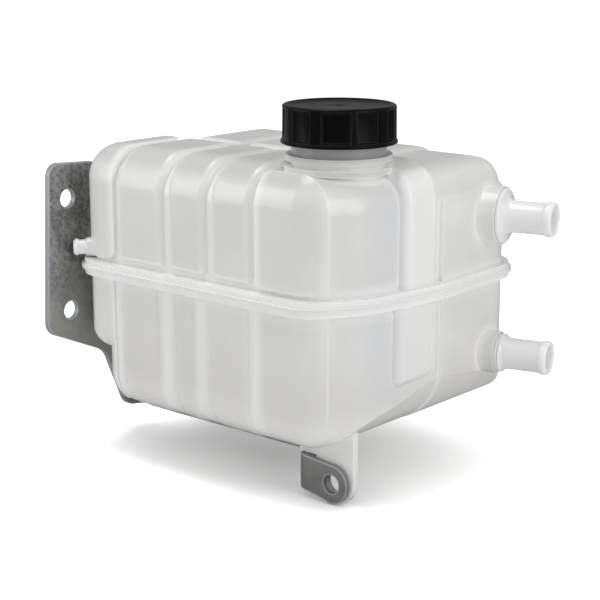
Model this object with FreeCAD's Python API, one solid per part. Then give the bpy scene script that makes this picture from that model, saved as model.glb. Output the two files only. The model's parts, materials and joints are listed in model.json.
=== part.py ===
import FreeCAD, Part
import math
import os

from FreeCAD import Placement, Rotation, Vector

# Coolant expansion tank. Each piece is drawn from the filler neck's axis and the plane where the
# two halves of the tank are welded, and then moved so that the origin lies midway between the two
# mounting holes, on the bracket's outer face. X runs along the lobed front wall, Y back, Z up.

doc = FreeCAD.newDocument("expansion_tank")
sheet = doc.addObject("Spreadsheet::Sheet", "sizes")

SIZES = {
    "wall": 3.0,
    "front_y": -56.0,
    "back_y": 139.0,
    "left_x": -190.0,
    "side_x": 49.0,
    "groove_depth": 3.2,
    "low_groove_depth": 1.4,
    "lobe_lift": 8.0,
    "upper_height": 85.0,
    "crown_drop": 6.0,
    "rear_drop": 4.0,
    "rear_round": 32.0,
    "lower_depth": 98.0,
    "keel_round": 48.0,
    "heel_round": 36.0,
    "panel_high": 61.0,
    "panel_low": 58.0,
    "band_low": 62.0,
    "left_step": 18.0,
    "left_depth": 58.0,
    "flange_reach": 5.0,
    "flange_thick": 5.0,
    "ridge_reach": 7.0,
    "ridge_thick": 1.4,
    "neck_radius": 30.5,
    "neck_bore": 25.0,
    "bead_radius": 34.0,
    "bead_rise": 0.6,
    "bead_base": "=upper_height + bead_rise",
    "bead_thick": 4.0,
    "thread_root": 28.4,
    "cap_gap": 6.9,
    "cap_base": "=bead_base + bead_thick + cap_gap",
    "cap_height": 24.5,
    "cap_top": "=cap_base + cap_height",
    "neck_reach": 15.5,
    "neck_top": "=cap_base + neck_reach",
    "cap_radius": 36.6,
    "cap_bore": 31.2,
    "cap_roof": 3.2,
    "rib_count": 10,
    "insert_radius": 24.6,
    "insert_flange": 29.4,
    "insert_depth": 28.0,
    "insert_base": "=neck_top - insert_depth",
    "insert_lip": 2.5,
    "seat_bore": 12.0,
    "plunger_radius": 16.0,
    "plunger_hub": 6.0,
    "stem_radius": 2.7,
    "spring_radius": 11.5,
    "spring_wire": 1.0,
    "small_spring_radius": 4.0,
    "small_spring_wire": 0.45,
    "hose_radius": 10.8,
    "hose_bore": 8.0,
    "hose_bead": 1.0,
    "hose_length": 36.0,
    "pad_radius": 20.0,
    "low_pad_radius": 14.5,
    "spigot_stand": 6.0,
    "spigot_x": "=side_x + spigot_stand",
    "spigot_inset": 31.0,
    "spigot_y": "=back_y - spigot_inset",
    "spigot_turn": 13.6,
    "upper_spigot_z": 40.5,
    "lower_spigot_z": -54.5,
    "vent_z": 12.0,
    "vent_radius": 5.2,
    "steel": 4.0,
    "plate_gap": 13.0,
    "plate_x": "=left_x - plate_gap",
    "hole_radius": 6.5,
    "plate_hole_y": -55.0,
    "upper_hole_z": 45.0,
    "hole_spacing": 80.0,
    "lower_hole_z": "=upper_hole_z - hole_spacing",
    "plate_edge": 20.0,
    "strap_y": 8.0,
    "strap_width": 12.0,
    "strap_gap": 4.0,
    "strap_height": 19.0,
    "strap_high": "=-lower_depth - strap_gap",
    "strap_low": "=strap_high - strap_height",
    "strap_end": -12.3,
    "tab_width": 26.0,
    "tab_reach": 24.0,
    "screw_stand": 21.0,
    "screw_y": "=strap_y + screw_stand",
    "screw_inset": 53.0,
    "first_screw_x": "=plate_x + screw_inset",
    "screw_spacing": 90.0,
    "screw_radius": 2.7,
    "head_radius": 5.4,
    "head_height": 3.6,
    "washer_radius": 7.0,
    "washer_thick": 1.6,
    "boss_radius": 8.0,
    "boss_gap": 0.3,
    "ear_x": 16.0,
    "ear_drop": 24.3,
    "ear_z": "=-lower_depth - ear_drop",
    "ear_radius": 13.0,
    "leg_front": -22.0,
    "leg_gap": 0.3,
    "leg_thick": 5.0,
    "leg_drop": 38.0,
    "leg_low": "=-lower_depth - leg_drop",
    "leg_left": -14.0,
    "leg_right": 31.0,
    "bush_radius": 10.4,
    "bush_bore": 9.0,
    "bush_length": 5.2,
}

for row, (name, value) in enumerate(SIZES.items(), start=1):
    sheet.set("A%d" % row, name)
    sheet.set("B%d" % row, str(value))
    sheet.setAlias("B%d" % row, name)
doc.recompute()


def size(name):
    """A driving dimension, read back from the sheet."""
    return float(getattr(sheet, name))


def feature(label, shape, at=None):
    """A piece whose shape comes from Part's own functions."""
    piece = doc.addObject("Part::Feature", label)
    piece.Shape = shape
    piece.Label = label
    if at is not None:
        piece.Placement = at
    return piece


def ring(outer, inner, low, high):
    """A flat ring about the neck axis."""
    solid = Part.makeCylinder(outer, high - low, Vector(0, 0, low))
    if inner > 0:
        solid = solid.cut(Part.makeCylinder(inner, high - low + 2, Vector(0, 0, low - 1)))
    return solid


def turned(points):
    """A solid of revolution about Z from (radius, height) corners."""
    wire = Part.makePolygon([Vector(r, 0, z) for r, z in points + points[:1]])
    return Part.Face(wire).revolve(Vector(0, 0, 0), Vector(0, 0, 1), 360)


def edges_where(shape, test):
    return [edge for edge in shape.Edges if test(edge)]


# Plan outline of the tank wall: a straight lobed front, a bowed right-hand side, rounded corners.

def rounded_wire(points):
    """A closed wire from (u, v, radius) corners, each rounded by a tangent arc."""
    count = len(points)
    cuts = []
    for i, (u, v, radius) in enumerate(points):
        here = Vector(u, v, 0)
        before = Vector(points[i - 1][0], points[i - 1][1], 0) - here
        after = Vector(points[(i + 1) % count][0], points[(i + 1) % count][1], 0) - here
        if radius <= 0:
            cuts.append((here, here, None))
            continue
        angle = before.getAngle(after)
        run = radius / math.tan(angle / 2)
        first = here + before.normalize() * run
        last = here + after.normalize() * run
        reach = radius / math.sin(angle / 2) - radius
        inward = (first + last) * 0.5 - here
        cuts.append((first, last, here + inward.normalize() * reach))
    edges = []
    for i, (first, last, top) in enumerate(cuts):
        if top is not None:
            edges.append(Part.Arc(first, top, last).toShape())
        following = cuts[(i + 1) % count][0]
        if (following - last).Length > 1e-6:
            edges.append(Part.makeLine(last, following))
    return Part.Wire(edges)


def rounded_face(points):
    return Part.Face(rounded_wire(points))


def outline(offset, step=0.0):
    """The plan of the wall, moved outward by the offset, its left wall moved in by the step."""
    left, front = size("left_x") + step, size("front_y")
    back, side = size("back_y"), size("side_x")
    wire = rounded_wire([
        (left, front, 25), (side - 28, front, 22), (side - 8, front + 35, 60),
        (side + 1, front + 96, 200), (side - 4, back, 27), (left, back, 25),
    ])
    if abs(offset) > 1e-6:
        wire = wire.makeOffset2D(offset)
    return wire


def slab(offset, low, high, step=0.0):
    """The plan outline, moved outward by the offset, as a slab between two heights."""
    face = Part.Face(outline(offset, step))
    face.translate(Vector(0, 0, low))
    return face.extrude(Vector(0, 0, high - low))


def rounded_slab(offset, reach, radius, step=0.0):
    """The slab from the weld plane to the given height or depth, its far rim rounded."""
    solid = slab(offset, 0, reach, step)
    rim = edges_where(solid, lambda e: abs(e.BoundBox.ZMin - reach) < 0.01 and e.BoundBox.ZLength < 0.01)
    return solid.makeFillet(radius, rim)


def lobe_start(reach, inset):
    """The height at which a lobe starts: a little above the flange, or at the weld plane below it."""
    return size("lobe_lift") + inset if reach > 0 else 0.0


def front_lobe(x_low, x_high, y_back, reach, bend, edge_round, inset):
    """A lobe that stands on the front wall and bends over the shoulder to the top or bottom."""
    front = size("front_y") + inset
    sign = 1 if reach > 0 else -1
    near = lobe_start(reach, inset)
    far = reach - sign * inset
    bend = bend - inset
    y_back = y_back - inset
    profile = Part.Wire([
        Part.makeLine(Vector(0, y_back, near), Vector(0, front, near)),
        Part.makeLine(Vector(0, front, near), Vector(0, front, far - sign * bend)),
        Part.Arc(
            Vector(0, front, far - sign * bend),
            Vector(0, front + bend * (1 - math.sqrt(0.5)), far - sign * bend * (1 - math.sqrt(0.5))),
            Vector(0, front + bend, far),
        ).toShape(),
        Part.makeLine(Vector(0, front + bend, far), Vector(0, y_back, far)),
        Part.makeLine(Vector(0, y_back, far), Vector(0, y_back, near)),
    ])
    solid = Part.Face(profile).extrude(Vector(x_high - x_low - 2 * inset, 0, 0))
    solid.translate(Vector(x_low + inset, 0, 0))
    if near > 0:
        solid = solid.makeFillet(edge_round, edges_where(
            solid, lambda e: e.BoundBox.YLength > 1 and e.BoundBox.XLength < 0.01 and e.BoundBox.ZMax < near + 0.01))
        rim = edges_where(solid, lambda e: e.BoundBox.YMax < front + bend + 0.01 and not (
            e.BoundBox.XLength > 1 and e.BoundBox.ZMin > near + 2 * edge_round)
            or e.BoundBox.XLength < 0.01 and e.BoundBox.YLength > 1
            and min(abs(e.BoundBox.ZMin - far), abs(e.BoundBox.ZMax - far)) < 0.01
            and e.BoundBox.ZLength < 0.01)
        return solid.makeFillet(max(edge_round - 1 - inset, 1.0), rim)
    crest = edges_where(solid, lambda e: e.BoundBox.XLength < 0.01 and e.BoundBox.YMax < y_back - 0.01
                        or e.BoundBox.XLength < 0.01 and e.BoundBox.YLength > 1
                        and min(abs(e.BoundBox.ZMin - far), abs(e.BoundBox.ZMax - far)) < 0.01
                        and e.BoundBox.ZLength < 0.01)
    return solid.makeFillet(max(edge_round - inset, 1.0), crest)


def side_lobe(y_low, y_high, x_back, reach, bend, edge_round, inset):
    """A lobe of the right-hand side, made like a front lobe and turned a quarter."""
    out = size("side_x") - inset
    sign = 1 if reach > 0 else -1
    far = reach - sign * inset
    bend = bend - inset
    x_back = x_back + inset
    profile = Part.Wire([
        Part.makeLine(Vector(x_back, 0, 0), Vector(out, 0, 0)),
        Part.makeLine(Vector(out, 0, 0), Vector(out, 0, far - sign * bend)),
        Part.Arc(
            Vector(out, 0, far - sign * bend),
            Vector(out - bend * (1 - math.sqrt(0.5)), 0, far - sign * bend * (1 - math.sqrt(0.5))),
            Vector(out - bend, 0, far),
        ).toShape(),
        Part.makeLine(Vector(out - bend, 0, far), Vector(x_back, 0, far)),
        Part.makeLine(Vector(x_back, 0, far), Vector(x_back, 0, 0)),
    ])
    solid = Part.Face(profile).extrude(Vector(0, y_high - y_low - 2 * inset, 0))
    solid.translate(Vector(0, y_low + inset, 0))
    crest = edges_where(solid, lambda e: e.BoundBox.YLength < 0.01 and e.BoundBox.XMin > x_back + 0.01
                        or e.BoundBox.YLength < 0.01 and e.BoundBox.XLength > 1
                        and min(abs(e.BoundBox.ZMin - far), abs(e.BoundBox.ZMax - far)) < 0.01
                        and e.BoundBox.ZLength < 0.01)
    return solid.makeFillet(max(edge_round - inset, 1.0), crest)


def wrapped_lobe(x_low, x_high, y_high, reach, bend, inset, step=0.0):
    """A large lobe that follows the plan outline round a corner of the tank."""
    whole = rounded_slab(-inset, reach - (inset if reach > 0 else -inset), bend, step)
    span = abs(reach)
    near = lobe_start(reach, inset) if reach > 0 else -1.5 * span
    low_y = size("front_y") - 12
    block = Part.makeBox(x_high - x_low - 2 * inset, y_high - low_y - inset, 2.5 * span,
                         Vector(x_low + inset, low_y, near))
    block = block.makeFillet(6, edges_where(
        block, lambda e: e.BoundBox.ZLength > span and e.BoundBox.YMin > low_y + 5
        or reach > 0 and e.BoundBox.ZMax < near + 0.01))
    return whole.common(block)


def rear_panel(reach, bend, inset):
    """The proud panel round the rear right corner that carries a hose spigot."""
    whole = rounded_slab(-inset, reach - (inset if reach > 0 else -inset), bend)
    span = abs(reach)
    front = size("front_y") + 103 + inset
    block = Part.makeBox(60, size("back_y") - front + 9, 2 * span, Vector(size("side_x") - 39 + inset, front, -span))
    block = block.makeFillet(3, edges_where(
        block, lambda e: e.BoundBox.ZLength > span and e.BoundBox.XMin < size("side_x") - 20))
    return whole.common(block)


def back_lobe(x_low, x_high, y_front, reach, bend, edge_round, inset):
    """A front lobe turned about, for the back of the tank."""
    middle = (size("front_y") + size("back_y")) / 2
    solid = front_lobe(-x_high, -x_low, 2 * middle - y_front, reach, bend, edge_round, inset)
    solid.rotate(Vector(0, middle, 0), Vector(0, 0, 1), 180)
    return solid


def keel_trim(solid, offset, base, inset):
    """The part of a solid above the big curves that join the two ends to the bottom."""
    left, side = size("left_x") - 5, size("side_x") + 1.5 + offset
    heel, shelf = size("left_x") + size("left_step") - offset, -size("left_depth") - 2
    keep = prism_y([
        (left, 5, 0), (left, shelf, 0), (heel, shelf, 0), (heel, -base, size("heel_round") - inset),
        (side, -base, size("keel_round") - inset), (side, 5, 0),
    ], size("front_y") - 5, size("back_y") + 5)
    return solid.common(keep)


def rear_trim(solid, offset, crown, inset):
    """The part of a solid below the big curve that joins the top to the back."""
    front, back = size("front_y") - 5, size("back_y") + offset
    keep = prism_x([
        (front, -5, 0), (front, crown, 0), (back, crown, size("rear_round") - inset), (back, -5, 0),
    ], size("left_x") - 5, size("side_x") + 5)
    return solid.common(keep)


UPPER_LOBES = [(-149, -105), (-101, -66), (-62, -26)]
LOWER_LOBES = [(-149, -108), (-98, -75), (-67, -26)]
BACK_LOBES = [(-168, -126), (-120, -70), (-64, -14)]


def upper_body(inset):
    """The outer form of the upper half, or its inner form when inset by the wall."""
    groove = size("groove_depth")
    height = size("upper_height")
    crown = height - size("crown_drop") - inset
    rear_height = height - size("rear_drop")
    body = rear_trim(rounded_slab(-groove - inset, crown, 22 - inset), -groove - inset, crown, inset)
    parts = []
    for x_low, x_high in UPPER_LOBES:
        parts.append(front_lobe(x_low, x_high, 12, height, 26, 6.5, inset))
    for x_low, x_high in BACK_LOBES:
        parts.append(back_lobe(x_low, x_high, 46, rear_height, size("rear_round") + 2, 6.5, inset))
    parts.append(wrapped_lobe(-202, -153, 12, height, 24 - inset, inset))
    parts.append(wrapped_lobe(-22, 64, -44, height, 24 - inset, inset))
    parts.append(side_lobe(9, 42, -8, height, 24, 6.5, inset))
    parts.append(rear_panel(size("panel_high"), 7 - inset, inset))
    return body.fuse(parts).removeSplitter()


def lower_body(inset):
    """The outer form of the lower half, or its inner form when inset by the wall."""
    groove = size("low_groove_depth")
    depth = size("lower_depth")
    base = depth - groove - inset
    step = size("left_step")
    body = keel_trim(rounded_slab(-groove - inset, -base, 22 - inset, step), -groove - inset, base, inset)
    parts = [rounded_slab(-groove - inset, -size("left_depth") + inset, 12 - inset)]
    for x_low, x_high in LOWER_LOBES:
        parts.append(front_lobe(x_low, x_high, 40, -depth, 26, 6.5, inset))
    parts.append(wrapped_lobe(-202, -153, 40, -size("left_depth"), 14 - inset, inset))
    heel = wrapped_lobe(-202, -153, 40, -depth, 24 - inset, inset, step)
    parts.append(keel_trim(heel, -inset, depth - inset, inset))
    corner = wrapped_lobe(-22, 64, -44, -depth, 32 - inset, inset)
    parts.append(keel_trim(corner, -inset, depth - inset, inset))
    parts.append(side_lobe(2, 42, -8, -size("band_low"), 12, 6.5, inset))
    panel = rear_panel(groove - depth, 12 - inset, inset)
    parts.append(keel_trim(panel, -inset, base, inset))
    return body.fuse(parts).removeSplitter()


def along_spigot(z):
    """The placement of a spigot: its own Z axis points out of the tank."""
    turn = Rotation(Vector(0, 0, 1), size("spigot_turn")).multiply(Rotation(Vector(0, 1, 0), 90))
    return Placement(Vector(size("spigot_x"), size("spigot_y"), z), turn)


def vent_place():
    corner = Vector(size("left_x") + 7.3, size("front_y") + 7.3, size("vent_z"))
    turn = Rotation(Vector(0, 0, 1), 228).multiply(Rotation(Vector(0, 1, 0), 90))
    return Placement(corner, turn)


def placed(shape, placement):
    shape = shape.copy()
    shape.Placement = placement.multiply(shape.Placement)
    return shape


def make_upper_shell():
    wall = size("wall")
    outer = upper_body(0)
    inner = upper_body(wall)
    reach, thick = size("flange_reach"), size("flange_thick")
    outer = outer.fuse([
        slab(reach, 0, thick),
        slab(size("ridge_reach"), 0, size("ridge_thick")),
        Part.makeCylinder(size("neck_radius") + 5, 4, Vector(0, 0, size("bead_base") - 7)),
        Part.makeCylinder(size("neck_radius"), size("cap_base") + 1 - 60, Vector(0, 0, 60)),
        Part.makeCylinder(size("thread_root"), size("neck_top") - 60, Vector(0, 0, 60)),
        Part.makeCylinder(size("bead_radius"), size("bead_thick"), Vector(0, 0, size("bead_base"))),
        placed(Part.makeCylinder(size("pad_radius"), 22, Vector(0, 0, -22)), along_spigot(size("upper_spigot_z"))),
        placed(Part.makeCylinder(size("vent_radius") + 1.6, 12, Vector(0, 0, -10)), vent_place()),
    ])
    inner = inner.fuse([
        Part.makeCylinder(size("neck_bore"), size("neck_top") - 59, Vector(0, 0, 60)),
        placed(Part.makeCylinder(size("hose_bore"), 30, Vector(0, 0, -26)), along_spigot(size("upper_spigot_z"))),
        placed(Part.makeCylinder(2.5, 16, Vector(0, 0, -12)), vent_place()),
    ])
    return feature("upper_shell", outer.cut(inner))


def screw_places():
    """The x positions of the two screws that hold the bracket under the tank."""
    return [size("first_screw_x"), size("first_screw_x") + size("screw_spacing")]


def make_leg():
    """The moulded leg under the front right of the tank, with its notch, rib and bush boss."""
    front, low, thick = size("leg_front"), size("leg_low"), size("leg_thick")
    left, right = size("leg_left"), size("leg_right")
    ear_x, ear_z = size("ear_x"), size("ear_z")
    high = -size("lower_depth") + 30
    notch = size("strap_high") - 4.5
    ear_r = size("ear_radius")
    plate = prism_y([
        (left, high, 0), (right, high, 0), (right, low, 14), (ear_x - 0.3 * ear_r, low, 8),
        (ear_x - 1.2 * ear_r, ear_z - 0.3 * ear_r, 3), (ear_x - 1.2 * ear_r, notch, 0), (left, notch, 2),
    ], front, front + thick)
    rib_foot = ear_z + size("bush_radius") + 2
    rib = prism_x([
        (front + 1, rib_foot, 0), (front + 1, high, 0), (front + 30, high, 0), (front + 8, rib_foot, 0),
    ], ear_x - 2, ear_x + 2)
    web_foot = size("strap_high") + 1
    web = Part.makeBox(3.5, 16, high - web_foot, Vector(left, front, web_foot))
    boss = Part.makeCylinder(size("bush_radius") + 2.4, size("bush_length"), Vector(ear_x, front, ear_z), Vector(0, 1, 0))
    return [plate, rib, web, boss]


def make_lower_shell():
    wall = size("wall")
    outer = lower_body(0)
    inner = lower_body(wall)
    thick = size("flange_thick")
    y, radius = size("screw_y"), size("boss_radius")
    under = -size("lower_depth") - 2
    bosses = [Part.makeCylinder(radius, 40, Vector(x, y, under)) for x in screw_places()]
    outer = outer.fuse([
        slab(size("flange_reach"), -thick, 0),
        slab(size("ridge_reach"), -size("ridge_thick"), 0),
        placed(Part.makeCylinder(size("low_pad_radius"), 22, Vector(0, 0, -22)), along_spigot(size("lower_spigot_z"))),
    ] + make_leg() + bosses)
    inner = inner.fuse([
        placed(Part.makeCylinder(size("hose_bore"), 30, Vector(0, 0, -26)), along_spigot(size("lower_spigot_z"))),
    ])
    shell = outer.cut(inner)
    shell = shell.fuse([Part.makeCylinder(radius, 22, Vector(x, y, under)) for x in screw_places()])
    drills = [Part.makeCylinder(size("screw_radius") + 0.1, 18, Vector(x, y, under - 1)) for x in screw_places()]
    drills.append(Part.makeCylinder(
        size("bush_radius") + 0.1, size("bush_length") + 14,
        Vector(size("ear_x"), size("leg_front") - 5, size("ear_z")), Vector(0, 1, 0)))
    return feature("lower_shell", shell.cut(drills))


def make_hose_fitting(label, z_name, pad_name):
    """A hose spigot on its round two-step pad, turned in one piece."""
    body = doc.addObject("PartDesign::Body", label + "_body")
    body.Label = label
    sketch = body.newObject("Sketcher::SketchObject", label + "_profile")
    plane = [f for f in body.Origin.OriginFeatures if f.Role == "XZ_Plane"][0]
    sketch.AttachmentSupport = [(plane, "")]
    sketch.MapMode = "FlatFace"
    tube, bore, length = size("hose_radius"), size("hose_bore"), size("hose_length")
    pad, rise = size(pad_name) - 1.5, size("hose_bead")
    corners = [
        (bore, 0.0), (pad, 0.0), (pad, 1.6), (pad - 3.5, 2.8), (tube + 1.5, 3.4), (tube, 5.0),
        (tube, length - 6.6), (tube + rise, length - 5.0), (tube + rise, length - 1.0),
        (tube, length), (bore, length),
    ]
    points = [Vector(r, z, 0) for r, z in corners]
    for start, end in zip(points, points[1:] + points[:1]):
        sketch.addGeometry(Part.LineSegment(start, end), False)
    spin = body.newObject("PartDesign::Revolution", label + "_turned")
    spin.Profile = sketch
    spin.ReferenceAxis = (sketch, ["V_Axis"])
    spin.Angle = 360
    sketch.Visibility = False
    body.Placement = along_spigot(size(z_name))
    return body


def make_vent_fitting():
    """The short vent nipple on its boss above the flange."""
    radius = size("vent_radius")
    solid = turned([
        (2.5, 2.0), (radius + 1.2, 2.0), (radius + 1.2, 3.4), (radius, 4.2), (radius, 8.6),
        (radius + 0.7, 9.6), (radius + 0.7, 10.8), (radius - 0.6, 12.4), (2.5, 12.4)])
    return feature("vent_fitting", solid, vent_place())


def ribbon(points, half):
    """The plan of a folded sheet: a band of the sheet's thickness along a bent line."""
    left_side, right_side = [], []
    for i, (x, y, bend) in enumerate(points):
        here = Vector(x, y, 0)
        ways = []
        if i > 0:
            ways.append((here - Vector(points[i - 1][0], points[i - 1][1], 0)).normalize())
        if i < len(points) - 1:
            ways.append((Vector(points[i + 1][0], points[i + 1][1], 0) - here).normalize())
        normals = [Vector(-w.y, w.x, 0) for w in ways]
        if len(normals) == 2:
            mid = (normals[0] + normals[1]).normalize()
            shift = mid * (half / mid.dot(normals[0]))
            turn = ways[0].cross(ways[1]).z
        else:
            shift, turn = normals[0] * half, 0
        inner, outer = bend - half, bend + half
        on_left = here + shift
        on_right = here - shift
        left_side.append((on_left.x, on_left.y, 0 if turn == 0 else (inner if turn > 0 else outer)))
        right_side.append((on_right.x, on_right.y, 0 if turn == 0 else (outer if turn > 0 else inner)))
    return rounded_face(left_side + right_side[::-1])


def prism_x(points, x_low, x_high):
    """A prism along X over a rounded outline given in Y and Z."""
    solid = rounded_face(points).extrude(Vector(0, 0, x_high - x_low))
    return placed(solid, Placement(Vector(x_low, 0, 0), Rotation(Vector(1, 1, 1), 120)))


def prism_y(points, y_low, y_high):
    """A prism along Y over a rounded outline given in X and Z."""
    solid = rounded_face(points).extrude(Vector(0, 0, y_high - y_low))
    return placed(solid, Placement(Vector(0, y_high, 0), Rotation(Vector(1, 0, 0), 90)))


def box_between(low, high):
    return Part.makeBox(high[0] - low[0], high[1] - low[1], high[2] - low[2], Vector(*low))


def make_bracket():
    """One folded steel part: plate and arm, strap under the tank, step forward, ear."""
    steel = size("steel")
    half = steel / 2
    edge = size("plate_edge")
    hole_y, top_hole, low_hole = size("plate_hole_y"), size("upper_hole_z"), size("lower_hole_z")
    low, high, near, width = size("strap_low"), size("strap_high"), size("strap_y"), size("strap_width")
    left, back = size("plate_x") + half, near + width - steel
    step, fold = size("strap_end"), 1.75 * steel
    ear_mid = size("leg_front") - size("leg_gap") - half
    ear_x, ear_z, ear_r = size("ear_x"), size("ear_z"), size("ear_radius")
    plan = ribbon([
        (left, hole_y - 1.8 * edge, 0), (left, back, fold), (step, back, fold), (step, ear_mid, fold),
        (ear_x + 2.5 * ear_r, ear_mid, 0),
    ], half)
    depth = top_hole + 3 * edge - low
    sheet_metal = plan.extrude(Vector(0, 0, depth + 2 * edge))
    sheet_metal.translate(Vector(0, 0, low - 1.5 * edge))
    panel = prism_x([
        (hole_y - 1.08 * edge, low_hole - 0.66 * edge, 0.55 * edge),
        (hole_y - 0.78 * edge, top_hole + 1.3 * edge, 0.45 * edge),
        (hole_y + 1.45 * edge, top_hole + 1.15 * edge, 0.3 * edge),
        (hole_y + 1.45 * edge, low_hole + 1.45 * edge, edge),
        (near, high + 2.6 * edge, edge),
        (near, high, 0.2 * edge),
        (near + width, high, 0),
        (near + width, low, 0),
        (near - 0.62 * edge, low + 0.18 * edge, 0.6 * edge),
        (near - 1.58 * edge, low + 2.47 * edge, 0.8 * edge),
    ], left - 2 * steel, left + 2 * steel)
    strap = box_between((left + 1.9 * steel, near, low), (step - 2 * steel, near + width, high))
    foot, brow = ear_z - 0.52 * ear_r, ear_z + 1.1 * ear_r
    forward = prism_x([
        (near + width, low, 0), (near + width, high, 0), (near - 4 * steel, high, 2 * steel),
        (near - 6 * steel, brow, 2 * steel), (ear_mid - steel, brow, 0),
        (ear_mid - steel, foot, 0), (near - 5 * steel, foot, 2 * steel), (near - 3 * steel, low, 2 * steel),
    ], step - 2.1 * steel, step + 1.3 * steel)
    ear = prism_y([
        (step - steel, foot, 3), (step - steel, brow, 3), (step + steel, brow + 0.8, 3),
        (ear_x + 0.24 * ear_r, ear_z + 0.97 * ear_r, 0), (ear_x + 0.24 * ear_r, ear_z - 0.97 * ear_r, 0),
        (ear_x - 0.62 * ear_r, ear_z - 0.86 * ear_r, 4), (step + 0.75 * steel, foot - 1.6, 3),
    ], ear_mid - 3, ear_mid + 3)
    ear = ear.fuse(Part.makeCylinder(ear_r, 6, Vector(ear_x, ear_mid - 3, ear_z), Vector(0, 1, 0)))
    solid = sheet_metal.common(panel.fuse([strap, forward, ear]))
    top = -size("lower_depth") - 2 - size("boss_gap")
    wide, reach = size("tab_width") / 2, size("tab_reach")
    tabs = [
        prism_x([
            (back - half, low + 3, 0), (back - half, top, 5), (back + reach, top, 0),
            (back + reach, top - steel, 0), (back + half, top - steel, 1), (back + half, low + 3, 0),
        ], x - wide, x + wide)
        for x in screw_places()
    ]
    solid = solid.fuse(tabs).removeSplitter()
    hole = size("hole_radius")
    drills = [
        Part.makeCylinder(hole, 5 * steel, Vector(left - 2.5 * steel, hole_y, z), Vector(1, 0, 0))
        for z in (top_hole, low_hole)
    ]
    drills.append(Part.makeCylinder(hole, 5 * steel, Vector(ear_x, ear_mid - 2 * steel, ear_z), Vector(0, 1, 0)))
    for x in screw_places():
        drills.append(Part.makeCylinder(size("screw_radius") + 0.7, 5 * steel, Vector(x, size("screw_y"), top - 3 * steel)))
    return feature("mounting_bracket", solid.cut(drills))


def make_screws():
    """Two pan-head screws from below through the strap's tabs into the tank's bosses."""
    y, radius, rise = size("screw_y"), size("head_radius"), size("head_height")
    thick = size("washer_thick")
    seat = -size("lower_depth") - 2 - size("boss_gap") - size("steel") - thick
    half, slot = 0.55 * radius, 0.26 * radius
    screws, washers = [], []
    for x in screw_places():
        head = Part.makeCylinder(radius, rise, Vector(x, y, seat - rise))
        head = head.makeFillet(0.44 * rise, edges_where(
            head, lambda e: e.BoundBox.ZMax < seat - rise / 2 and len(e.Vertexes) == 1 and e.BoundBox.ZLength < 0.01))
        across = Part.makeBox(slot, 2 * half, 0.5 * rise, Vector(x - slot / 2, y - half, seat - rise))
        along = Part.makeBox(2 * half, slot, 0.5 * rise, Vector(x - half, y - slot / 2, seat - rise))
        shank = Part.makeCylinder(size("screw_radius"), 4.7 * rise, Vector(x, y, seat))
        screws.append(head.fuse(shank).cut(across.fuse(along)))
        washer = Part.makeCylinder(size("washer_radius"), thick, Vector(x, y, seat))
        washers.append(washer.cut(Part.makeCylinder(size("screw_radius") + 0.4, 3 * thick, Vector(x, y, seat - thick))))
    return [feature("bracket_screws", Part.makeCompound(screws)),
            feature("bracket_washers", Part.makeCompound(washers))]


def make_bush():
    """The flanged steel sleeve in the leg's boss."""
    front, length, radius = size("leg_front"), size("bush_length"), size("bush_radius")
    x, z = size("ear_x"), size("ear_z")
    outer = Part.makeCylinder(radius, length, Vector(x, front, z), Vector(0, 1, 0))
    outer = outer.fuse(Part.makeCylinder(radius + 1.6, 1.5, Vector(x, front + length, z), Vector(0, 1, 0)))
    inner = Part.makeCylinder(size("bush_bore"), length + 4, Vector(x, front - 1, z), Vector(0, 1, 0))
    return feature("leg_bush", outer.cut(inner))


def make_cap():
    """The screw cap: a skirt with ten grip ribs, a dished roof and a small lip at the base."""
    base, top, radius = size("cap_base"), size("cap_top"), size("cap_radius")
    bore, roof = size("cap_bore"), size("cap_roof")
    core = radius - 2.2
    shell = turned([
        (0, top - 1.2), (radius - 5, top - 1.2), (radius - 3.6, top), (radius - 1.4, top),
        (radius - 0.6, top - 1.2), (radius - 0.6, top - 2.4), (core, top - 3.4), (core, base + 4),
        (radius + 0.2, base + 2.6), (radius + 0.6, base + 1.4), (radius + 0.6, base), (bore, base),
        (bore, top - roof - 1.2), (0, top - roof - 1.2),
    ])
    ribs = []
    count = int(size("rib_count"))
    for i in range(count):
        rib = Part.makeBox(6, 8.5, top - base - 4.4, Vector(radius - 5.4, -4.25, base + 2))
        rib = rib.makeFillet(2.0, edges_where(
            rib, lambda e: e.BoundBox.ZLength > 5 and e.BoundBox.XMin > radius - 2))
        rib.rotate(Vector(0, 0, 0), Vector(0, 0, 1), -41.4 + 360.0 * i / count)
        ribs.append(rib)
    return feature("cap_shell", shell.fuse(ribs).removeSplitter())


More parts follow.
